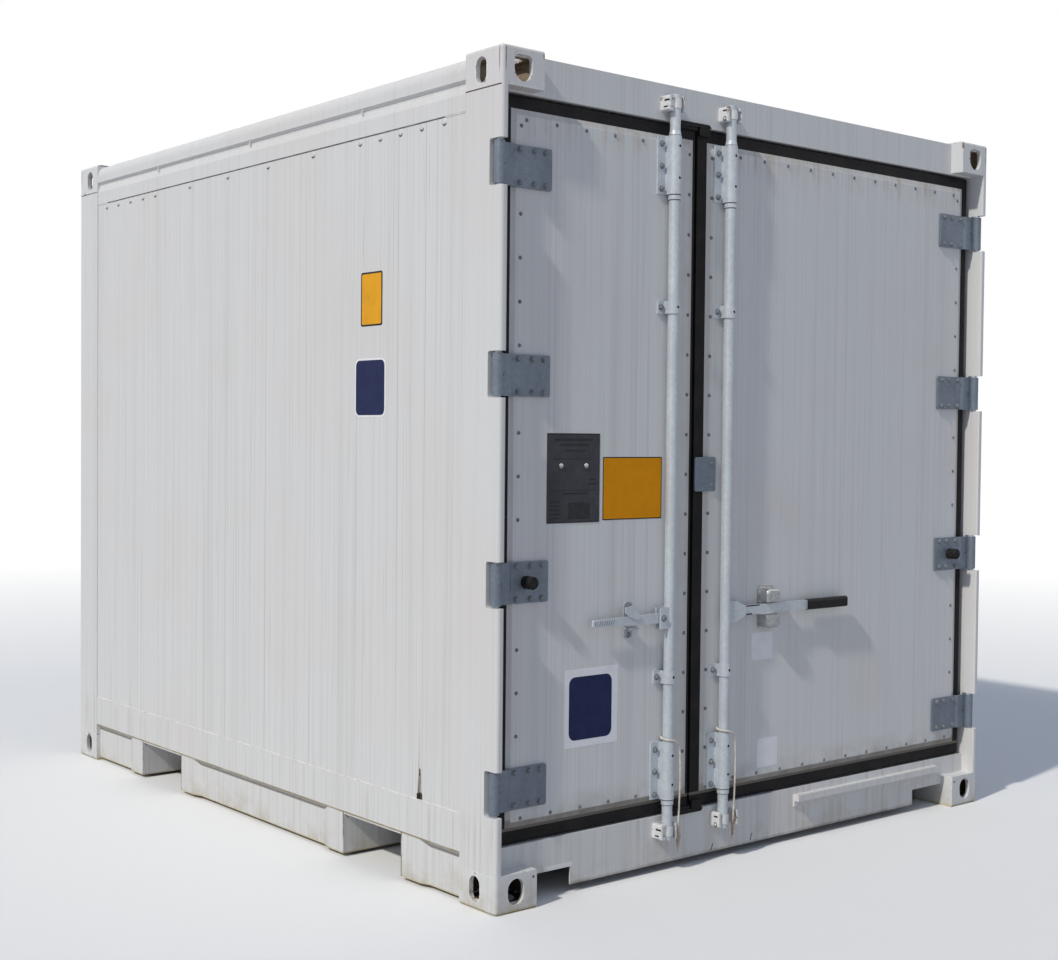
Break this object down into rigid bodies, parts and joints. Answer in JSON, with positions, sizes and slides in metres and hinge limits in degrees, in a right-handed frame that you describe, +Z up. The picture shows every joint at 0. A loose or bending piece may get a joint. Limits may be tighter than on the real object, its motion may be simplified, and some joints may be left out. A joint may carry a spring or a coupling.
{
  "type": "insulated shipping container",
  "caption": "Short insulated shipping container with corner castings, fork pockets, and unequal hinged doors closed by lock rods, cams and handles.",
  "frame": {"origin": "middle of the base, on the ground under the bottom castings", "axes": "+X along the door end from the narrow leaf to the wide one, +Y from the doors to the far end, +Z up"},
  "size_m": [2.438, 2.991, 2.591],
  "materials": {
    "white_paint": "satin white paint, chalked and streaked",
    "door_skin": "satin white paint over riveted sheet",
    "galvanised": "dull galvanised steel",
    "rubber": "black rubber",
    "rope": "twisted fibre, soiled at the end",
    "aluminium": "mill finish",
    "grip_plastic": "black moulded sleeve"
  },
  "bodies": {
    "container": {"corner_castings_bottom": "white_paint", "corner_castings_top": "white_paint", "door_post_left": "white_paint", "door_post_right": "white_paint", "end_posts": "white_paint", "hinge_pins": "galvanised", "door_header": "white_paint", "door_sill": "white_paint", "sill_bar": "white_paint", "end_header": "white_paint", "end_sill": "white_paint", "top_rail_left": "white_paint", "top_rail_right": "white_paint", "bottom_rail_left": "white_paint", "bottom_rail_right": "white_paint", "lower_rail_left": "white_paint", "lower_rail_right": "white_paint", "fork_pockets": "white_paint", "cross_members": "white_paint", "side_wall_left": "white_paint", "side_wall_right": "white_paint", "end_wall": "white_paint", "roof": "white_paint", "floor_base": "white_paint", "t_bar_floor": "aluminium", "cam_keepers": "white_paint"},
    "left_door": {"left_leaf": "door_skin", "left_gasket": "rubber", "left_hinges": "galvanised", "left_buffer": "rubber", "left_bearings": "galvanised", "left_catch": "galvanised", "left_rope": "rope"},
    "right_door": {"right_leaf": "door_skin", "right_gasket": "rubber", "gasket_flaps": "rubber", "right_hinges": "galvanised", "right_buffer": "rubber", "right_bearings": "galvanised", "right_catch": "galvanised", "right_rope": "rope", "overlap_plate": "galvanised"},
    "left_rod": {"left_lock_rod": "galvanised"},
    "left_handle": {"left_handle": "galvanised"},
    "right_rod": {"right_lock_rod": "galvanised", "right_handle": "galvanised", "right_grip": "grip_plastic"}
  },
  "joints": [
    {"name": "left_door_swing", "type": "hinge", "parent": "container", "child": "left_door", "pos_m": [-1.201, -1.4635, 1.3], "axis": [0, 0, -1], "range_deg": [0, 240]},
    {"name": "right_door_swing", "type": "hinge", "parent": "container", "child": "right_door", "pos_m": [1.201, -1.4635, 1.3], "axis": [0, 0, 1], "range_deg": [0, 240]},
    {"name": "left_rod_turn", "type": "hinge", "parent": "left_door", "child": "left_rod", "pos_m": [-0.478, -1.4685, 1.3], "axis": [0, 0, -1], "range_deg": [-100, 0]},
    {"name": "right_rod_turn", "type": "hinge", "parent": "right_door", "child": "right_rod", "pos_m": [-0.213, -1.4685, 1.3], "axis": [0, 0, 1], "range_deg": [-100, 0]},
    {"name": "left_handle_lift", "type": "hinge", "parent": "left_rod", "child": "left_handle", "pos_m": [-0.515, -1.4685, 0.846], "axis": [0, -1, 0], "range_deg": [-25, 0]}
  ]
}
